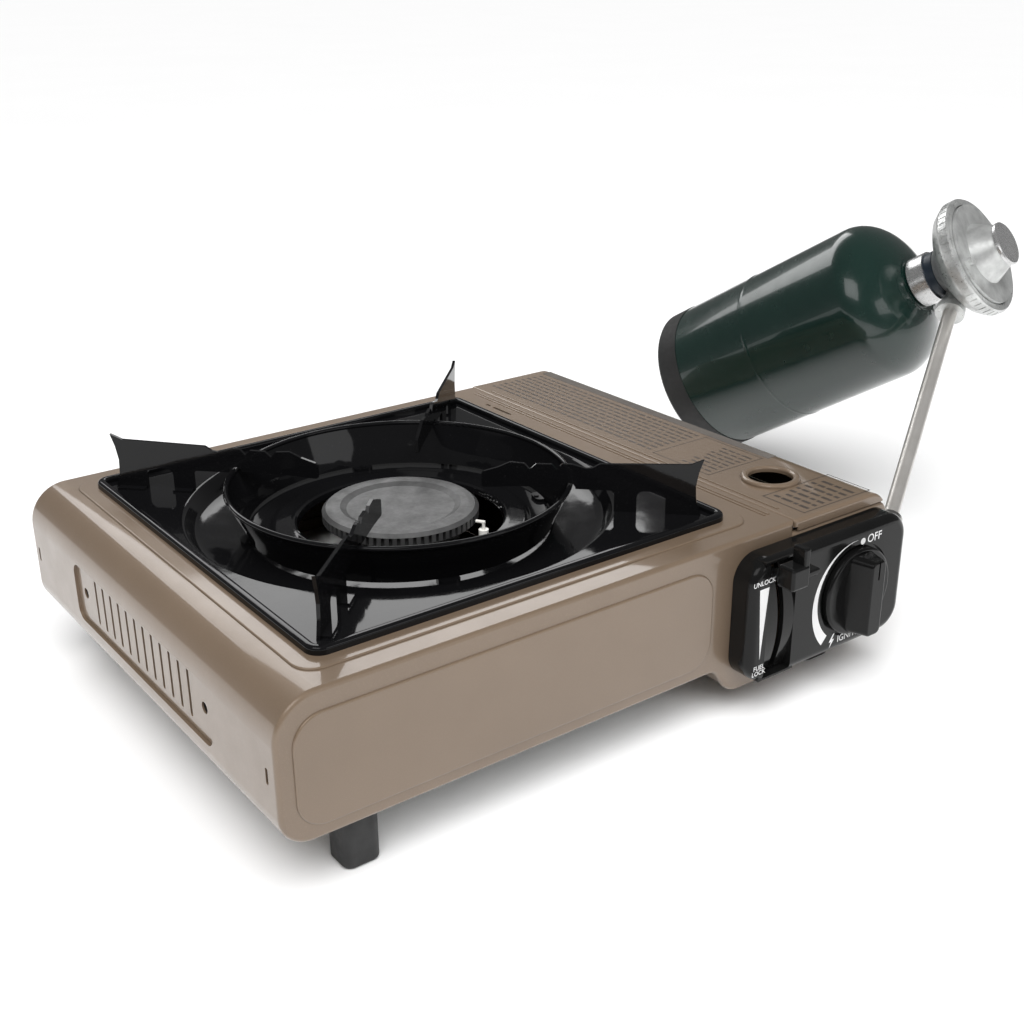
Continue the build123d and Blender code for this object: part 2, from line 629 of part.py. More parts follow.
def make_burner_head():
    """Round burner head with a toothed port ring and a dished top."""
    profile = [(0, 80), (26, 80), (26, 78), (31, 78), (36.4, 83), (BURNER_R, 84), (BURNER_R, 88), (36, 89.6),
               (33, 90), (29, 90), (26, 88.6), (0, 88.6)]
    head = turned(profile)
    tooth_gap = Pos(BURNER_R, 0, 85.6) * Box(5.4, 1.7, 4.8)
    for index in range(BURNER_TEETH):
        head -= Rot(0, 0, index * 360 / BURNER_TEETH) * tooth_gap
    return head


def make_burner_bracket():
    """Flat bracket between the base tray and the burner's cup."""
    floor_z = BASE_Z + 2 * SHEET
    plate = disc(0, 0, 33) + rounded(-46, 46, -8, 8, 4) - disc(0, 0, 12)
    return prism_z(plate, floor_z, floor_z + 1)


ELECTRODE_R = 43.0          # from the burner's middle
ELECTRODE_TURN = -57.0      # degrees from +X


def at_electrode(solid):
    """Turn a solid drawn on the +X side of the burner to the electrode's side."""
    return Rot(0, 0, ELECTRODE_TURN) * solid


def make_electrode():
    """Spark electrode: ceramic sleeve with a steel wire bent towards the burner's edge."""
    sleeve = rod(2.4, (ELECTRODE_R, 0, 54), (ELECTRODE_R, 0, 82.5))
    wire = rod(0.8, (ELECTRODE_R, 0, 82.5), (ELECTRODE_R, 0, 86.5))
    tip = rod(0.8, (ELECTRODE_R + 0.8, 0, 86.2), (ELECTRODE_R - 3.8, 0, 86.2))
    return at_electrode(sleeve + wire + tip)


def make_electrode_clip():
    """Clip from the burner base that holds the electrode's sleeve."""
    clip = block(27, ELECTRODE_R - 1, -1.5, 1.5, 63, 69)
    clip += Pos(ELECTRODE_R, 0, 66) * Cylinder(3.8, 6)
    clip -= Pos(ELECTRODE_R, 0, 66) * Cylinder(2.4, 20)
    clip -= turned([(0, 60), (28, 60), (28, 72), (0, 72)])
    return at_electrode(clip)


ELECTRODE_X = ELECTRODE_R * cos(radians(ELECTRODE_TURN))
ELECTRODE_Y = ELECTRODE_R * sin(radians(ELECTRODE_TURN))
LEAD_POINTS = [
    (152.0, -124.0, 22.0),
    (122.0, -124.0, 22.0),
    (90.0, -102.0, 36.0),
    (44.0, -66.0, 38.0),
    (ELECTRODE_X, ELECTRODE_Y, 38.0),
    (ELECTRODE_X, ELECTRODE_Y, 54.0),
]
LEAD_BENDS = [14, 20, 18, 8]


def make_ignition_lead():
    """Insulated lead from the piezo igniter to the electrode, fixed inside the case."""
    path = FilletPolyline(*LEAD_POINTS, radius=LEAD_BENDS)
    section = Plane(origin=path @ 0, z_dir=path % 0) * Circle(1.2)
    return sweep(section, path)


def make_piezo_igniter():
    """Piezo igniter body under the spindle, with the guide bore for its plunger."""
    body = block(152, 179, -130.1, -119.4, BAY_Z + SHEET, 33)
    return body - rod(PLUNGER_R + RUNNING, (KNOB_X, CAM_MIDDLE, 22), (KNOB_X, CAM_MIDDLE, 40))


def make_igniter_plunger():
    """Plunger that the spindle's cam drives into the igniter."""
    top_z = KNOB_Z - CAM_START_R - 0.3
    return rod(PLUNGER_R, (KNOB_X, CAM_MIDDLE, 27), (KNOB_X, CAM_MIDDLE, top_z))


def make_inner_gas_tube():
    """Short tube from the propane inlet to the valve block."""
    return rod(3.2, (182, SWIVEL_Y + 0.0, SWIVEL_Z), (194, SWIVEL_Y, SWIVEL_Z), bore=2.0)


# ---------------------------------------------------------------- drip pan, ring and supports
def make_drip_pan():
    """Enamelled square pan: beaded edge, flat corners and a round stepped well."""
    outer = rounded(-PAN_X, PAN_X, -PAN_Y, PAN_Y, 7)
    bottom = SHELF_Z - SHEET
    shelf = prism_z(outer - Circle(WELL_R + 0.5), bottom, SHELF_Z)
    bead = prism_z(outer - offset(outer, -BEAD_W), bottom, BEAD_TOP_Z)
    shelf += soften(bead, bead.faces().sort_by(Axis.Z)[-1].edges(), 1.7)
    top = [
        (WELL_R + 1, SHELF_Z), (WELL_R - 0.6, SHELF_Z - 0.4), (WELL_R - 1.8, SHELF_Z - 1.6), (WELL_R - 4.6, 85.2),
        (WELL_R - 6, 83.8), (WELL_R - 9, 82.8), (80, WELL_FLOOR_Z), (63.4, WELL_FLOOR_Z), (62.4, 82.2),
        (61.2, 83.3), (59.6, 83.6), (53.4, 83.6), (52.0, 84.0), (51.0, 84.0), (50.0, 83.2), (PAN_BORE_R, 81.0),
    ]
    under = [(r, z - SHEET) for r, z in reversed(top)]
    return shelf + turned(top + under)


def make_wind_ring():
    """Tall flared ring round the burner with a rolled top edge."""
    roll = 1.3
    roll_r = RING_R - roll
    roll_z = RING_TOP_Z - roll
    wall = turned([
        (roll_r + 0.4, roll_z), (RING_R - 3.6, 96.0), (RING_FOOT_R + 1.6, 88.0), (RING_FOOT_R, RING_FOOT_Z),
        (RING_FOOT_R - 1, RING_FOOT_Z), (RING_FOOT_R + 0.5, 88.2), (RING_R - 4.8, 96.2), (roll_r - 0.8, roll_z),
    ])
    rim = revolve(Plane.XZ * (Pos(roll_r, roll_z) * Circle(roll)), Axis.Z)
    return wall + rim


def make_ring_tabs():
    """Four riveted tabs that hold the wind ring just clear of the pan's floor."""
    tabs = []
    for index in range(4):
        tab = block(RING_FOOT_R - 5, RING_FOOT_R + 3.4, -5, 5, WELL_FLOOR_Z, RING_FOOT_Z)
        tab = soften(tab, tab.edges().filter_by(Axis.Z), 2.5)
        tab += Pos(RING_FOOT_R - 3.4, 0, RING_FOOT_Z) * Cylinder(1.2, 1.2)
        tabs.append(Rot(0, 0, RING_TURN + 90 * index) * tab)
    return tabs


def arm_face():
    """Side view of a pot support: (distance from the middle, height)."""
    top = TOP_Z
    edge = Polyline(
        (143.5, SHELF_Z), (141.2, top + 9), (140.8, top + 16), (142.0, top + 23), (144.0, top + 29.2),
        (138.0, top + 26.6), (96.0, top + 25.0), (92.6, top + 22.8), (89.6, top + 22.4), (83.0, top + 24.2),
        (78.4, top + 24.2), (75.8, top + 21.2), (73.4, top + 23.8), (66.0, top + 23.6), (63.0, top + 20.8),
        (60.4, top + 23.6), (53.6, top + 24.0), (48.0, top + 21.2), (41.0, top + 18.8), (40.0, top + 17.8),
        (40.0, top + 11.4), (41.0, top + 10.8), (56.0, top + 12.0), (78.2, top + 12.6), (79.0, top + 14.2),
        (81.0, top + 15.0), (83.4, top + 14.6), (84.6, top + 13.0), (84.8, top + 12.0), (101.5, top + 12.0),
        (103.0, top + 10.6), (103.0, SHELF_Z), close=True)
    window = rounded(113.5, 127.0, SHELF_Z - 6, top + 12.4, 3.5)
    return make_face(edge) - window


def make_pot_supports():
    """Four upright plates on the pan's diagonals, each with bent feet either side of a window."""
    face = arm_face()
    arms = []
    for index in range(ARM_COUNT):
        plate = prism_y(face, -ARM_THICK / 2, ARM_THICK / 2)
        for u0, u1 in ((103.5, 113.0), (127.5, 141.5)):
            plate += block(u0, u1, 0, 4.5, SHELF_Z, SHELF_Z + 1.0)
        arms.append(Rot(0, 0, 45 + 90 * index) * plate)
    return arms


# ---------------------------------------------------------------- feet
def make_left_feet():
    """Two tall moulded feet under the burner side."""
    feet = []
    for y in (-FOOT_Y, FOOT_Y):
        foot = prism_z(rounded(LEFT_FOOT_X - 8.4, LEFT_FOOT_X + 8.4, y - 8, y + 8, 4.2), 0, BASE_Z + SHEET)
        foot = soften(foot, foot.faces().sort_by(Axis.Z)[0].edges(), 2.0)
        feet.append(foot - block(-112.2, -80, -140, 140, BASE_Z + 5, BASE_Z + 9))
    return feet


def make_right_feet():
    """Two low rubber pads under the fuel bay."""
    pads = []
    for y in (-FOOT_Y + 5, FOOT_Y - 5):
        pad = prism_z(rounded(RIGHT_FOOT_X - 9, RIGHT_FOOT_X + 9, y - 8, y + 8, 4.5), 0, BAY_Z)
        pads.append(soften(pad, pad.faces().sort_by(Axis.Z)[0].edges(), 2.0))
    return pads


def make_case_screws():
    """Pan-head screws: four in the rear panel and two over the left feet."""
    screws = []
    for x, z in ((-122, 78), (-122, 38), (120, 76), (120, 34)):
        face_y = HALF_DEPTH + (1 if x < 82 else 0)
        head = rod(3.2, (x, face_y, z), (x, face_y + 1.8, z))
        head -= block(x - 2, x + 2, face_y + 1, face_y + 3, z - 0.4, z + 0.4)
        head -= block(x - 0.4, x + 0.4, face_y + 1, face_y + 3, z - 2, z + 2)
        screws.append(head)
    for y in (-FOOT_Y, FOOT_Y):
        top = BASE_Z + 2 * SHEET
        screws.append(rod(3.6, (LEFT_FOOT_X, y, top), (LEFT_FOOT_X, y, top + 2)))
    return screws


# ---------------------------------------------------------------- propane unit
HEADING = radians(CYLINDER_HEADING)
TILT = radians(CYLINDER_TILT)
TO_CAP = Vector(-cos(TILT) * cos(HEADING), -cos(TILT) * sin(HEADING), sin(TILT))
UNIT = Plane(origin=NECK, z_dir=TO_CAP)     # local Z runs from the cylinder's base to the cap
ELBOW = Vector(ELBOW_X, SWIVEL_Y, SWIVEL_Z)
PORT = NECK + TO_CAP * PORT_ALONG + PORT_OFFSET
PIPE_WAY = (PORT - ELBOW).normalized()


def on_unit(solid):
    """Move a solid drawn about the cylinder's own axis to its place."""
    return UNIT.location * solid


def make_inlet_socket():
    """Brass propane inlet through the right wall, with its hex flange and lock nut."""
    socket = rod(6.5, (194, SWIVEL_Y, SWIVEL_Z), (RIGHT_X + 9, SWIVEL_Y, SWIVEL_Z))
    hexagon = Plane(origin=(RIGHT_X, SWIVEL_Y, SWIVEL_Z), z_dir=(1, 0, 0)) * RegularPolygon(9.4, 6)
    socket += extrude(hexagon, 5)
    inner = Plane(origin=(RIGHT_X - SHEET - 3, SWIVEL_Y, SWIVEL_Z), z_dir=(1, 0, 0)) * RegularPolygon(9.4, 6)
    socket += extrude(inner, 3)
    socket -= rod(PIPE_R + RUNNING, (198, SWIVEL_Y, SWIVEL_Z), (RIGHT_X + 12, SWIVEL_Y, SWIVEL_Z))
    socket -= rod(2.0, (190, SWIVEL_Y, SWIVEL_Z), (199, SWIVEL_Y, SWIVEL_Z))
    return socket


def make_swivel_elbow():
    """Brass elbow: its spigot turns in the inlet, and its leg takes the pipe."""
    elbow = Pos(*ELBOW) * Rot(25, 40, 15) * Sphere(7.6)
    elbow += rod(6.4, (RIGHT_X + 9.3, SWIVEL_Y, SWIVEL_Z), ELBOW)
    elbow += rod(PIPE_R, (199.5, SWIVEL_Y, SWIVEL_Z), (RIGHT_X + 10, SWIVEL_Y, SWIVEL_Z))
    elbow += rod(6.4, ELBOW, ELBOW + PIPE_WAY * 10)
    elbow -= rod(PIPE_R, ELBOW + PIPE_WAY * 6, ELBOW + PIPE_WAY * 20)
    return elbow


def make_propane_pipe():
    """Straight steel feed pipe from the elbow to the regulator."""
    return rod(PIPE_R, ELBOW + PIPE_WAY * 6, PORT + PIPE_WAY * 6, bore=PIPE_R - 1)


def make_regulator_body():
    """Zinc casting: neck, flare, knurled rim and the side port for the pipe."""
    profile = [
        (0, BAND_END), (13.4, BAND_END), (15.5, BAND_END + 2.5), (19, BAND_END + 5.5), (26, BAND_END + 9),
        (31.5, BAND_END + 12.5), (34, BAND_END + 16), (RIM_R, BAND_END + 18.5), (RIM_R, BAND_END + 23.5),
        (34.6, BAND_END + 24.8), (31.2, BAND_END + 24.8), (31.2, BAND_END + 21.1), (28, BAND_END + 21.1),
        (22, BAND_END + 13.5), (0, BAND_END + 10),
    ]
    body = turned(profile)
    notch = Pos(RIM_R + 0.5, 0, BAND_END + 21.6) * Box(1.6, 1.1, 4.4)
    for index in range(48):
        body -= Rot(0, 0, index * 360 / 48) * notch
    body = on_unit(body)
    boss = rod(6.6, PORT, PORT + PIPE_WAY * 24)
    boss += rod(8.4, PORT - PIPE_WAY * 1, PORT + PIPE_WAY * 3.6)
    boss -= on_unit(turned([(0, BAND_END + 10), (22, BAND_END + 13.5), (28, BAND_END + 21.1), (28, 70), (0, 70)]))
    boss -= on_unit(Pos(0, 0, BAND_END / 2) * Cylinder(COLLAR_R + 1, BAND_END))
    body += boss
    body -= rod(PIPE_R, PORT - PIPE_WAY * 3, PORT + PIPE_WAY * 6)
    return body


def make_regulator_cover():
    """Spun cover disc with its tapered spring housing and the vent boss."""
    low = BAND_END + 22.5
    profile = [
        (0, HOUSING_TOP), (11.2, HOUSING_TOP), (17.4, low + 3.2), (28, low + 3.2), (28, low), (30.6, low),
        (30.6, low + 4.2), (18.6, low + 4.2), (12.3, HOUSING_TOP + 0.1), (12.3, HOUSING_TOP + 1),
        (0, HOUSING_TOP + 1),
    ]
    cover = turned(profile)
    vent = Rot(0, 0, VENT_TURN) * Pos(23.5, 0, low + 5) * Cylinder(2.4, 2.6)
    return on_unit(cover + vent)


def make_regulator_cap():
    """Flat cap pressed on the end of the spring housing."""
    low = HOUSING_TOP + 1
    cap = turned([(0, low), (13.0, low), (13.0, low + 1.4), (12.2, low + 2), (0, low + 2)])
    return on_unit(cap)


def make_diaphragm():
    """Rubber diaphragm clamped between the casting and the cover."""
    low = BAND_END + 21.1
    sheet = turned([
        (0, low + 1.2), (6, low + 1.2), (28, low), (31.1, low), (31.1, low + 1.4), (28, low + 1.4),
        (6, low + 3), (0, low + 3),
    ])
    return on_unit(sheet)


def make_regulator_spring():
    """Coil spring between the diaphragm and the housing."""
    low = BAND_END + 25.1
    path = Helix(pitch=4.2, height=HOUSING_TOP - low - 1.2, radius=7.0)
    section = Plane(origin=path @ 0, z_dir=path % 0) * Circle(0.9)
    return on_unit(Pos(0, 0, low) * sweep(section, path, is_frenet=True))


def make_socket_collar():
    """Bright threaded collar that the cylinder's neck screws into."""
    start = BAND_END - 5.5
    collar = turned([
        (13.0, 3), (COLLAR_R - 0.6, 3), (COLLAR_R, 3.6), (COLLAR_R, start), (0, start), (0, start - 1),
        (13.0, start - 1),
    ])
    return on_unit(collar)


def make_collar_band():
    """Dark band between the collar and the casting."""
    return on_unit(turned([(0, BAND_END - 5.5), (14.0, BAND_END - 5.5), (14.0, BAND_END), (0, BAND_END)]))


SHOULDER = -26.0            # where the dome starts, along the axis from the neck
CROWN = 30.0                # height of the dome's ellipse
DOME_SWEEP = 68.0           # degrees of that ellipse before the flat round the neck
NECK_PLATE = SHOULDER + CROWN * sin(radians(DOME_SWEEP))


def dome_points(radius, base_z, crown, steps=9):
    """Quarter ellipse from the cylinder's wall in towards its neck."""
    points = []
    for step in range(steps + 1):
        angle = radians(DOME_SWEEP * step / steps)
        points.append((radius * cos(angle), base_z + crown * sin(angle)))
    return points


def make_cylinder_shell():
    """Drawn steel cylinder: concave base, round shoulder and a girth seam."""
    base_z = -CYLINDER_LENGTH
    shoulder_z = SHOULDER
    crown = CROWN
    radius = CYLINDER_R - 0.4
    outer = [(0, base_z + 12), (28, base_z + 9), (40, base_z + 4), (45, base_z + 3.2), (radius - 1, base_z + 6),
             (radius, base_z + 10)]
    outer += [(radius, -97.2), (radius + 0.35, -96.4), (radius + 0.35, -95.0), (radius, -94.2)]
    outer += dome_points(radius, shoulder_z, crown) + [(0, NECK_PLATE)]
    inner = [(0, base_z + 13.2), (28, base_z + 10.2), (40, base_z + 5.2), (radius - 2.6, base_z + 7.4),
             (radius - 1.2, base_z + 11)]
    inner += dome_points(radius - 1.2, shoulder_z, crown - 1.2) + [(0, NECK_PLATE - 1.2)]
    return on_unit(turned(outer) - turned(inner))


def make_cylinder_foot():
    """Black plastic foot ring pressed on the base of the cylinder."""
    base_z = -CYLINDER_LENGTH
    ring = turned([(43.0, base_z), (CYLINDER_R - 1.2, base_z), (CYLINDER_R, base_z + 1.6), (CYLINDER_R, base_z + 16),
                   (CYLINDER_R - 0.4, base_z + 16), (CYLINDER_R - 0.4, base_z + 10), (CYLINDER_R - 1.4, base_z + 6),
                   (45, base_z + 3.2), (43.0, base_z + 3.4)])
    return on_unit(ring)


def make_cylinder_valve():
    """Threaded neck with the valve stem in its middle."""
    neck = turned([
        (0, NECK_PLATE), (17.0, NECK_PLATE), (17.0, 2.3), (12.7, 2.5), (12.7, 11.6), (9.5, 11.9),
        (9.5, 7), (3.5, 7), (3.5, 10.6), (0, 10.6),
    ])
    return on_unit(neck)


# ---------------------------------------------------------------- assembly
SUB_PARTS = {
    "top_cover": make_top_cover,
    "front_panel": make_front_panel,
    "rear_panel": make_rear_panel,
    "base_tray": make_base_tray,
    "fuel_bay_floor": make_fuel_bay_floor,
    "heat_shield": make_heat_shield,
    "fuel_lid": make_fuel_lid,
    "hinge_brackets": make_hinge_brackets,
    "hinge_pins": make_hinge_pins,
    "lid_catch": make_lid_catch,
    "control_panel": make_control_panel,
    "ignition_knob": make_ignition_knob,
    "valve_spindle": make_valve_spindle,
    "lock_lever": make_lock_lever,
    "lever_cap": make_lever_cap,
    "lever_pivot": make_lever_pivot,
    "canister_slider": make_canister_slider,
    "guide_rails": make_guide_rails,
    "gas_valve": make_gas_valve,
    "gas_nozzle": make_gas_nozzle,
    "mixing_tube": make_mixing_tube,
    "burner_base": make_burner_base,
    "burner_head": make_burner_head,
    "burner_bracket": make_burner_bracket,
    "electrode": make_electrode,
    "electrode_clip": make_electrode_clip,
    "ignition_lead": make_ignition_lead,
    "piezo_igniter": make_piezo_igniter,
    "igniter_plunger": make_igniter_plunger,
    "inner_gas_tube": make_inner_gas_tube,
    "drip_pan": make_drip_pan,
    "wind_ring": make_wind_ring,
    "ring_tabs": make_ring_tabs,
    "pot_supports": make_pot_supports,
    "left_feet": make_left_feet,
    "right_feet": make_right_feet,
    "case_screws": make_case_screws,
    "inlet_socket": make_inlet_socket,
    "swivel_elbow": make_swivel_elbow,
    "propane_pipe": make_propane_pipe,
    "regulator_body": make_regulator_body,
    "regulator_cover": make_regulator_cover,
    "regulator_cap": make_regulator_cap,
    "diaphragm": make_diaphragm,
    "regulator_spring": make_regulator_spring,
    "socket_collar": make_socket_collar,
    "collar_band": make_collar_band,
    "cylinder_shell": make_cylinder_shell,
    "cylinder_foot": make_cylinder_foot,
    "cylinder_valve": make_cylinder_valve,
}


def gather(made):
    """One compound from a solid or a list of solids."""
    solids = []
    for item in made if isinstance(made, list) else [made]:
        solids.extend(item.solids())
    return Compound(solids)


def main():
    """Build every sub-part, centre the model on its base and write one STEP each."""
    os.makedirs("parts", exist_ok=True)
    nodes = {name: gather(make()) for name, make in SUB_PARTS.items()}
    box = Compound([solid for node in nodes.values() for solid in node.solids()]).bounding_box()
    shift = Vector(-(box.min.X + box.max.X) / 2, -(box.min.Y + box.max.Y) / 2, -box.min.Z)
    for name, node in nodes.items():
        export_step(node.moved(Pos(*shift)), f"parts/{name}.step")
    print("origin moved by", shift, "box", box.size)


main()
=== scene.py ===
"""Looks of the portable camping stove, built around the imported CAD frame."""

from math import cos, radians, sin

import bpy
from mathutils import Matrix, Vector


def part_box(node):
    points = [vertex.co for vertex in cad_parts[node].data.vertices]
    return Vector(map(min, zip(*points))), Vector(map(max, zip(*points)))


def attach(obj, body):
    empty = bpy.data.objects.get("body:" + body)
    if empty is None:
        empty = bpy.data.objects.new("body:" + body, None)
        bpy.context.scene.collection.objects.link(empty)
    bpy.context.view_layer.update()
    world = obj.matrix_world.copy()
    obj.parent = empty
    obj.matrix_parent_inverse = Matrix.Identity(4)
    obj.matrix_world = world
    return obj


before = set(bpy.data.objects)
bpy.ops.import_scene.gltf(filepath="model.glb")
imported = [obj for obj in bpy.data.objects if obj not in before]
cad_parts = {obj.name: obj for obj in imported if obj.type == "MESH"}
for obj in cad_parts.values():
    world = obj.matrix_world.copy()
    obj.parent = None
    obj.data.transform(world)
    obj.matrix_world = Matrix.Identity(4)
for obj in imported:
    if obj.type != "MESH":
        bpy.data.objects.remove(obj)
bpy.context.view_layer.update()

# ------------------------------------------------------------------ placing
PAN_LOW, PAN_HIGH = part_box("drip_pan")
MIDDLE = (Vector(PAN_LOW) + Vector(PAN_HIGH)) / 2
PANEL_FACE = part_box("control_panel")[0][1]    # front of the control panel
CASE_TOP = 90.0                               # height of the case's top, in millimetres
SMOOTH_ANGLE = radians(34)                    # edges sharper than this stay sharp


def at(x, y, z):
    """A point given in millimetres from the pan's middle, with z from the table."""
    return Vector((MIDDLE.x + x / 1000, MIDDLE.y + y / 1000, z / 1000))


# ---------------------------------------------------------------- materials
class Nodes:
    """Builds one procedural material, one texture at a time, in object coordinates."""

    def __init__(self, name):
        self.mat = bpy.data.materials.new(name)
        self.mat.use_nodes = True
        self.tree = self.mat.node_tree
        self.shader = self.tree.nodes["Principled BSDF"]
        self.place = self.tree.nodes.new("ShaderNodeTexCoord").outputs["Object"]
        self.normal = None

    def link(self, a, b):
        self.tree.links.new(a, b)

    def noise(self, scale, detail=3.0, rough=0.55):
        noise = self.tree.nodes.new("ShaderNodeTexNoise")
        noise.inputs["Scale"].default_value = scale
        noise.inputs["Detail"].default_value = detail
        noise.inputs["Roughness"].default_value = rough
        self.link(self.place, noise.inputs["Vector"])
        return noise.outputs["Fac"]

    def spread(self, value, low, high, span=(0.3, 0.7)):
        node = self.tree.nodes.new("ShaderNodeMapRange")
        node.inputs["From Min"].default_value = span[0]
        node.inputs["From Max"].default_value = span[1]
        node.inputs["To Min"].default_value = low
        node.inputs["To Max"].default_value = high
        self.link(value, node.inputs["Value"])
        return node.outputs["Result"]

    def blend(self, value, first, second):
        mix = self.tree.nodes.new("ShaderNodeMix")
        mix.data_type = "RGBA"
        mix.inputs[6].default_value = (*first, 1)
        mix.inputs[7].default_value = (*second, 1)
        self.link(value, mix.inputs[0])
        return mix.outputs[2]

    def bump(self, value, height):
        node = self.tree.nodes.new("ShaderNodeBump")
        node.inputs["Distance"].default_value = height
        node.inputs["Strength"].default_value = 1.0
        self.link(value, node.inputs["Height"])
        if self.normal:
            self.link(self.normal, node.inputs["Normal"])
        self.normal = node.outputs["Normal"]

    def done(self, coat=0.0, coat_rough=0.04, metallic=0.0, specular=0.5):
        shader = self.shader
        shader.inputs["Specular IOR Level"].default_value = specular
        shader.inputs["Metallic"].default_value = metallic
        shader.inputs["Coat Weight"].default_value = coat
        shader.inputs["Coat Roughness"].default_value = coat_rough
        if self.normal:
            self.link(self.normal, shader.inputs["Normal"])
        return self.mat


def surface(name, dark, light, rough, metallic=0.0, coat=0.0, coat_rough=0.04, patch=26.0, grain=None,
            ripple=None, specular=0.5):
    """A finish whose colour and sheen drift a little, with a fine grain and a slow ripple as bumps."""
    kit = Nodes(name)
    slow = kit.noise(patch, 5.0)
    fine = kit.noise(patch * 9, 4.0)
    kit.link(kit.blend(kit.spread(slow, 0.0, 1.0), dark, light), kit.shader.inputs["Base Color"])
    kit.link(kit.spread(fine, rough[0], rough[1]), kit.shader.inputs["Roughness"])
    if ripple:
        kit.bump(kit.noise(ripple[0], 2.0), ripple[1])
    if grain:
        kit.bump(kit.noise(grain[0]), grain[1])
    return kit.done(coat, coat_rough, metallic, specular)


def shade(colour, factor):
    """The colour made lighter or darker, and never over 1."""
    return tuple(min(1.0, part * factor) for part in colour)


def flake_paint(name, colour):
    """Glossy paint with fine bright flakes under a clear coat and a faint orange peel."""
    kit = Nodes(name)
    slow = kit.noise(9.0, 4.0)
    flakes = kit.noise(2600.0, 2.0)
    body = kit.blend(kit.spread(slow, 0.0, 1.0), shade(colour, 0.93), shade(colour, 1.05))
    mix = kit.tree.nodes.new("ShaderNodeMix")
    mix.data_type = "RGBA"
    mix.blend_type = "ADD"
    mix.inputs[7].default_value = (*shade(colour, 0.4), 1)
    kit.link(kit.spread(flakes, 0.0, 0.5, (0.55, 0.8)), mix.inputs[0])
    kit.link(body, mix.inputs[6])
    kit.link(mix.outputs[2], kit.shader.inputs["Base Color"])
    kit.link(kit.spread(kit.noise(60.0, 5.0), 0.36, 0.46), kit.shader.inputs["Roughness"])
    kit.bump(kit.noise(420.0, 2.0), 0.00002)
    return kit.done(0.8, 0.06, 0.25)


def enamel(name):
    """Black porcelain enamel: deep mirror gloss over a very slightly wavy sheet, with a trace of dust."""
    kit = Nodes(name)
    dust = kit.noise(900.0, 4.0, rough=0.7)
    kit.link(kit.blend(kit.spread(dust, 0.0, 1.0, (0.62, 0.8)), (0.0045, 0.0045, 0.005), (0.02, 0.02, 0.021)),
             kit.shader.inputs["Base Color"])
    kit.link(kit.spread(kit.noise(70.0, 5.0), 0.045, 0.085), kit.shader.inputs["Roughness"])
    kit.bump(kit.noise(38.0, 2.0), 0.00009)
    kit.bump(kit.noise(420.0, 2.0), 0.000005)
    return kit.done(specular=0.3)


def cast(name, colour, rough, height, metallic=1.0):
    """Die-cast zinc: grey metal with a granular skin and duller hollows."""
    kit = Nodes(name)
    grains = kit.noise(520.0, 5.0, rough=0.65)
    slow = kit.noise(120.0, 3.0)
    kit.link(kit.blend(kit.spread(slow, 0.0, 1.0), shade(colour, 0.72), shade(colour, 1.1)),
             kit.shader.inputs["Base Color"])
    kit.link(kit.spread(grains, rough[0], rough[1]), kit.shader.inputs["Roughness"])
    kit.bump(slow, height * 2)
    kit.bump(grains, height)
    return kit.done(metallic=metallic)


TAN = (0.19, 0.137, 0.094)
BRONZE = flake_paint("bronze_paint", TAN)
ENAMEL = enamel("black_enamel")
PLASTIC = surface("gloss_black_plastic", (0.005, 0.005, 0.005), (0.008, 0.008, 0.008), (0.12, 0.18),
                  grain=(1500.0, 0.000006), ripple=(30.0, 0.00005), specular=0.25)
KNOB_PLASTIC = surface("satin_black_plastic", (0.003, 0.003, 0.003), (0.006, 0.006, 0.006), (0.16, 0.24),
                       grain=(1800.0, 0.00001), specular=0.25)
RUBBER = surface("black_rubber", (0.012, 0.012, 0.012), (0.022, 0.022, 0.022), (0.5, 0.65),
                 grain=(1400.0, 0.00003))
BAND = surface("dark_blue_band", (0.010, 0.018, 0.028), (0.02, 0.03, 0.045), (0.3, 0.42),
               grain=(900.0, 0.00002))
GREEN = surface("green_paint", (0.0035, 0.016, 0.0125), (0.0055, 0.022, 0.017), (0.2, 0.28), 0.0, 0.7, 0.05,
                patch=14.0, grain=(700.0, 0.000006), ripple=(24.0, 0.00006))
STEEL = surface("satin_steel", (0.42, 0.41, 0.40), (0.58, 0.57, 0.55), (0.26, 0.38), 1.0, patch=60.0,
                grain=(900.0, 0.00001))
GALVANISED = surface("plated_sheet", (0.5, 0.5, 0.49), (0.66, 0.66, 0.65), (0.3, 0.42), 1.0, patch=45.0,
                     grain=(600.0, 0.00001))
TURNED = surface("machined_zinc", (0.62, 0.62, 0.62), (0.78, 0.78, 0.78), (0.2, 0.3), 0.85, patch=70.0,
                 grain=(1200.0, 0.000006))
BRASS = surface("brass", (0.55, 0.40, 0.16), (0.68, 0.50, 0.22), (0.25, 0.36), 1.0, patch=60.0,
                grain=(900.0, 0.000008))
CERAMIC = surface("white_ceramic", (0.72, 0.70, 0.66), (0.82, 0.81, 0.77), (0.25, 0.35),
                  grain=(700.0, 0.00001))
LEAD_RED = surface("red_lead", (0.35, 0.02, 0.015), (0.42, 0.03, 0.02), (0.4, 0.5), grain=(900.0, 0.00001))
DIAPHRAGM = surface("diaphragm_rubber", (0.02, 0.02, 0.02), (0.03, 0.03, 0.03), (0.6, 0.7),
                    grain=(800.0, 0.00002))
CAST = cast("cast_zinc", (0.70, 0.71, 0.70), (0.24, 0.42), 0.00016, 0.75)
COVER = cast("pressed_cover", (0.7, 0.71, 0.70), (0.3, 0.44), 0.00003, 0.7)
PIPE = surface("pipe_steel", (0.56, 0.54, 0.51), (0.66, 0.64, 0.61), (0.3, 0.42), 0.7, patch=60.0,
               grain=(900.0, 0.00001))
BURNER = cast("burner_casting", (0.2, 0.2, 0.2), (0.42, 0.6), 0.00006, 0.75)
WHITE = surface("white_print", (0.72, 0.72, 0.72), (0.8, 0.8, 0.8), (0.4, 0.5), grain=(900.0, 0.000005))
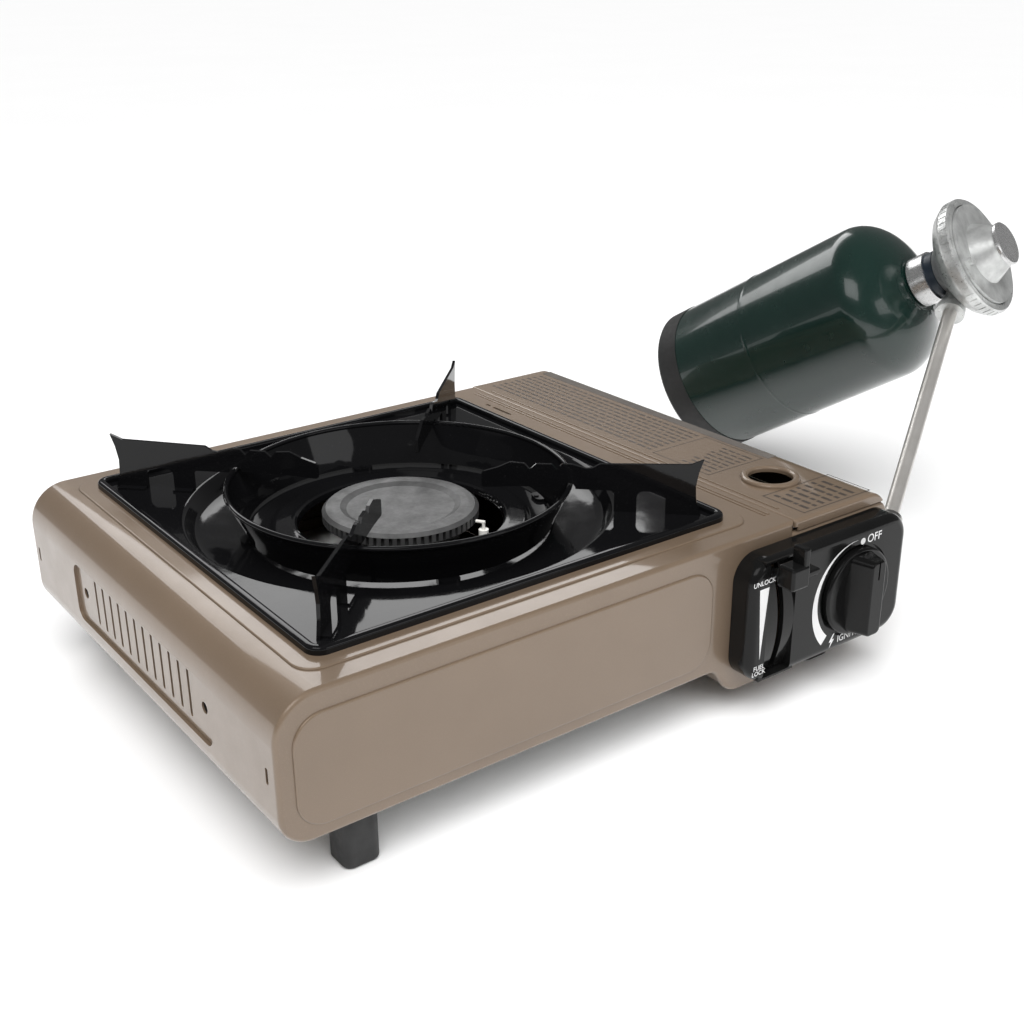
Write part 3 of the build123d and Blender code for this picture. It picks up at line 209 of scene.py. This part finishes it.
INK = surface("dark_print", (0.045, 0.036, 0.03), (0.06, 0.048, 0.04), (0.3, 0.4), grain=(900.0, 0.000005))
FOIL = surface("label_film", (0.10, 0.088, 0.08), (0.13, 0.115, 0.10), (0.16, 0.24), grain=(600.0, 0.00001))

LOOK = {
    BRONZE: "top_cover front_panel rear_panel fuel_bay_floor fuel_lid",
    ENAMEL: "drip_pan wind_ring ring_tabs pot_supports",
    PLASTIC: "control_panel lever_cap",
    KNOB_PLASTIC: "ignition_knob piezo_igniter",
    RUBBER: "left_feet right_feet cylinder_foot",
    BAND: "collar_band",
    GREEN: "cylinder_shell cylinder_valve",
    PIPE: "propane_pipe",
    STEEL: "swivel_elbow inlet_socket case_screws hinge_pins valve_spindle lever_pivot igniter_plunger"
           " regulator_spring electrode_clip",
    GALVANISED: "base_tray heat_shield hinge_brackets lid_catch lock_lever canister_slider guide_rails"
                " burner_bracket inner_gas_tube mixing_tube burner_base",
    TURNED: "socket_collar regulator_cap",
    BRASS: "gas_nozzle",
    CERAMIC: "electrode",
    LEAD_RED: "ignition_lead",
    DIAPHRAGM: "diaphragm",
    CAST: "regulator_body gas_valve",
    COVER: "regulator_cover",
    BURNER: "burner_head",
}
for mat, names in LOOK.items():
    for name in names.split():
        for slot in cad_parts[name].material_slots:
            slot.material = mat


# Turned and pressed pieces are shaded as smooth surfaces up to their real edges.
SMOOTHED = "cylinder_shell cylinder_foot regulator_body regulator_cover regulator_cap wind_ring drip_pan"
for name in SMOOTHED.split():
    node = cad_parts[name]
    weld = node.modifiers.new("weld", "WELD")
    weld.merge_threshold = 0.00001
    split = node.modifiers.new("edges", "EDGE_SPLIT")
    split.split_angle = SMOOTH_ANGLE
    node.modifiers.new("normals", "WEIGHTED_NORMAL")


# ------------------------------------------------------------ printed marks
def piece(name, verts, faces, mat, body):
    mesh = bpy.data.meshes.new(name)
    mesh.from_pydata([tuple(v) for v in verts], [], faces)
    mesh.materials.append(mat)
    obj = bpy.data.objects.new(name, mesh)
    bpy.context.collection.objects.link(obj)
    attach(obj, body)
    return obj


INK_LIFT = 0.06     # millimetres that a print stands off the surface under it
FACE_Y = (PANEL_FACE - MIDDLE.y) * 1000 - INK_LIFT


def text_on_panel(name, words, x, z, size, align="CENTER"):
    """White lettering on the control panel's face: x and z of its middle, size of the letters."""
    data = bpy.data.curves.new(name, "FONT")
    data.body = words
    data.size = size / 1000
    data.align_x = align
    data.align_y = "CENTER"
    data.offset = size * 0.00001
    data.space_line = 0.85
    data.materials.append(WHITE)
    obj = bpy.data.objects.new(name, data)
    obj.rotation_euler = (radians(90), 0, 0)
    obj.location = at(x, FACE_Y, z)
    bpy.context.collection.objects.link(obj)
    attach(obj, "stove_body")


KNOB_X, KNOB_Z = 165.5, 50.3
text_on_panel("print_off", "OFF", 171.6, 75.0, 5.9, "LEFT")
text_on_panel("print_ignition", "IGNITION", 156.0, 26.2, 5.0, "LEFT")
text_on_panel("print_unlock", "UNLOCK", 101.6, 72.6, 3.4)
text_on_panel("print_lock", "FUEL\nLOCK", 101.6, 27.6, 3.3)


def on_dial(radius, angle):
    return at(KNOB_X + radius * cos(radians(angle)), FACE_Y, KNOB_Z + radius * sin(radians(angle)))


CRESCENT_STEPS = 48
CRESCENT_START, CRESCENT_END = 92.0, 228.0     # degrees round the knob from +X
CRESCENT_INSIDE = 26.2
CRESCENT_SPREAD = 5.4
crescent = []
for i in range(CRESCENT_STEPS + 1):
    share = i / CRESCENT_STEPS
    angle = CRESCENT_START + (CRESCENT_END - CRESCENT_START) * share
    outside = CRESCENT_INSIDE + 0.1 + CRESCENT_SPREAD * share ** 1.3
    crescent += [on_dial(CRESCENT_INSIDE, angle), on_dial(outside, angle)]
quads = [(2 * i, 2 * i + 1, 2 * i + 3, 2 * i + 2) for i in range(CRESCENT_STEPS)]
piece("print_crescent", crescent, quads, WHITE, "stove_body")

DOT_X, DOT_Z, DOT_R, DOT_SIDES = 168.4, 75.0, 1.7, 24
turns = [radians(360 / DOT_SIDES * i) for i in range(DOT_SIDES)]
dot = [at(DOT_X + DOT_R * cos(turn), FACE_Y, DOT_Z + DOT_R * sin(turn)) for turn in turns]
piece("print_dot", dot, [tuple(range(DOT_SIDES))], WHITE, "stove_body")

wedge = [at(98.8, FACE_Y, 69.6), at(101.6, FACE_Y, 33.0), at(104.8, FACE_Y, 69.6)]
piece("print_wedge", wedge, [(0, 1, 2)], WHITE, "stove_body")
bolt = [(1.3, 5), (-2.4, -0.6), (-0.3, -0.6), (-1.7, -5), (2.6, 1.0), (0.5, 1.0), (2.7, 5)]
BOLT_X, BOLT_Z, BOLT_SCALE = 151.8, 26.6, 0.74
bolt = [at(BOLT_X + BOLT_SCALE * x, FACE_Y, BOLT_Z + BOLT_SCALE * z) for x, z in bolt]
piece("print_bolt", bolt, [tuple(range(len(bolt)))], WHITE, "stove_body")


# -------------------------------------------------------------- lid prints
LID_Z = CASE_TOP + INK_LIFT


def strip(x0, x1, y0, y1, z=LID_Z):
    return [at(x0, y0, z), at(x1, y0, z), at(x1, y1, z), at(x0, y1, z)]


def bars(name, quads, mat):
    verts = [v for quad in quads for v in quad]
    piece(name, verts, [tuple(range(4 * i, 4 * i + 4)) for i in range(len(quads))], mat, "lid")


def frame_of(x0, x1, y0, y1, width):
    """Four thin strips round a rectangle."""
    return [strip(x0, x1, y0, y0 + width), strip(x0, x1, y1 - width, y1),
            strip(x0, x0 + width, y0, y1), strip(x1 - width, x1, y0, y1)]


def greek(x0, x1, y0, y1, pitch, thick, seed):
    """Rows of short strokes in place of small print, running along Y."""
    quads = []
    rows = int((x1 - x0) / pitch)
    for row in range(rows):
        x = x0 + pitch * (row + 0.5)
        y = y0
        k = row + seed
        while y < y1 - 2:
            k = (k * 37 + 11) % 101
            word = 2.2 + 5.0 * k / 101
            stop = min(y + word, y1)
            quads.append(strip(x - thick / 2, x + thick / 2, y, stop))
            y = stop + 1.3
    return quads


bars("lid_small_print", greek(144, 183, -18, 125, 4.3, 1.5, 3), INK)
bars("lid_notice_lines", greek(147.5, 189, -124.5, -102.5, 5.4, 2.0, 7), INK)
bars("lid_notice_border", frame_of(144.5, 192, -127.0, -100.0, 0.6), INK)
bars("lid_box_border", frame_of(143.5, 183, -64, -22, 0.5), INK)
bars("lid_box_lines", greek(146, 181, -61, -40, 4.2, 1.3, 9), INK)
bars("lid_grey_band", [strip(184.6, 191.2, -66, 126)], FOIL)

# ------------------------------------------------------------------- studio
FLOOR_HALF = 24.0
floor_mesh = bpy.data.meshes.new("floor")
corners = [(-FLOOR_HALF, -FLOOR_HALF, 0), (FLOOR_HALF, -FLOOR_HALF, 0), (FLOOR_HALF, FLOOR_HALF, 0),
           (-FLOOR_HALF, FLOOR_HALF, 0)]
floor_mesh.from_pydata(corners, [], [(0, 1, 2, 3)])
floor = bpy.data.objects.new("floor", floor_mesh)
bpy.context.collection.objects.link(floor)
PAPER = surface("floor_paper", (0.9, 0.9, 0.9), (0.91, 0.91, 0.91), (0.75, 0.8), patch=3.0)
floor_mesh.materials.append(PAPER)

world = bpy.data.worlds.new("studio")
bpy.context.scene.world = world
world.use_nodes = True
nodes, links = world.node_tree.nodes, world.node_tree.links
dim = nodes["Background"]
dim.inputs[0].default_value = (1, 1, 1, 1)
dim.inputs[1].default_value = 0.14
bright = nodes.new("ShaderNodeBackground")
bright.inputs[0].default_value = (1, 1, 1, 1)
bright.inputs[1].default_value = 1.0
seen = nodes.new("ShaderNodeLightPath")
mixed = nodes.new("ShaderNodeMixShader")
links.new(seen.outputs["Is Camera Ray"], mixed.inputs[0])
links.new(dim.outputs[0], mixed.inputs[1])
links.new(bright.outputs[0], mixed.inputs[2])
links.new(mixed.outputs[0], nodes["World Output"].inputs["Surface"])
bpy.context.scene.view_settings.view_transform = "Standard"

sun_data = bpy.data.lights.new("sky", "SUN")
sun_data.energy = 3.7
sun_data.angle = radians(60)
sun = bpy.data.objects.new("sky", sun_data)
sun.rotation_euler = (radians(24), radians(-14), 0)
sun.visible_glossy = False
bpy.context.collection.objects.link(sun)


def area(name, place, target, size, power):
    data = bpy.data.lights.new(name, "AREA")
    data.shape = "RECTANGLE"
    data.size, data.size_y = size
    data.energy = power
    lamp = bpy.data.objects.new(name, data)
    lamp.location = place
    way = Vector(target) - Vector(place)
    lamp.rotation_euler = way.to_track_quat("-Z", "Y").to_euler()
    bpy.context.collection.objects.link(lamp)


area("key", (-1.0, -0.5, 1.3), (0, 0, 0.05), (1.0, 0.8), 5)
area("front", (0.5, -1.6, 0.9), (0, 0, 0.05), (1.0, 0.5), 2.2)
area("back", (0.35, 1.3, 1.0), (-0.1, 0, 0.05), (1.5, 0.45), 6)

# ------------------------------------------------------------------- camera
AZIMUTH = radians(-36.54)
ELEVATION = radians(22.85)
ROLL = radians(-0.42)
EYE = at(-312.8, -512.5, 336.9)
LENS, SENSOR = 47.11, 36.0
back = Vector((sin(AZIMUTH) * cos(ELEVATION), -cos(AZIMUTH) * cos(ELEVATION), sin(ELEVATION)))
right = Vector((0, 0, 1)).cross(back).normalized()
up = back.cross(right)
basis = Matrix((right, up, back)).transposed().to_4x4()
camera = bpy.data.cameras.new("camera")
camera.sensor_width = SENSOR
camera.lens = LENS
camera_object = bpy.data.objects.new("camera", camera)
camera_object.matrix_world = Matrix.Translation(EYE) @ basis @ Matrix.Rotation(ROLL, 4, "Z")
bpy.context.collection.objects.link(camera_object)
bpy.context.scene.camera = camera_object
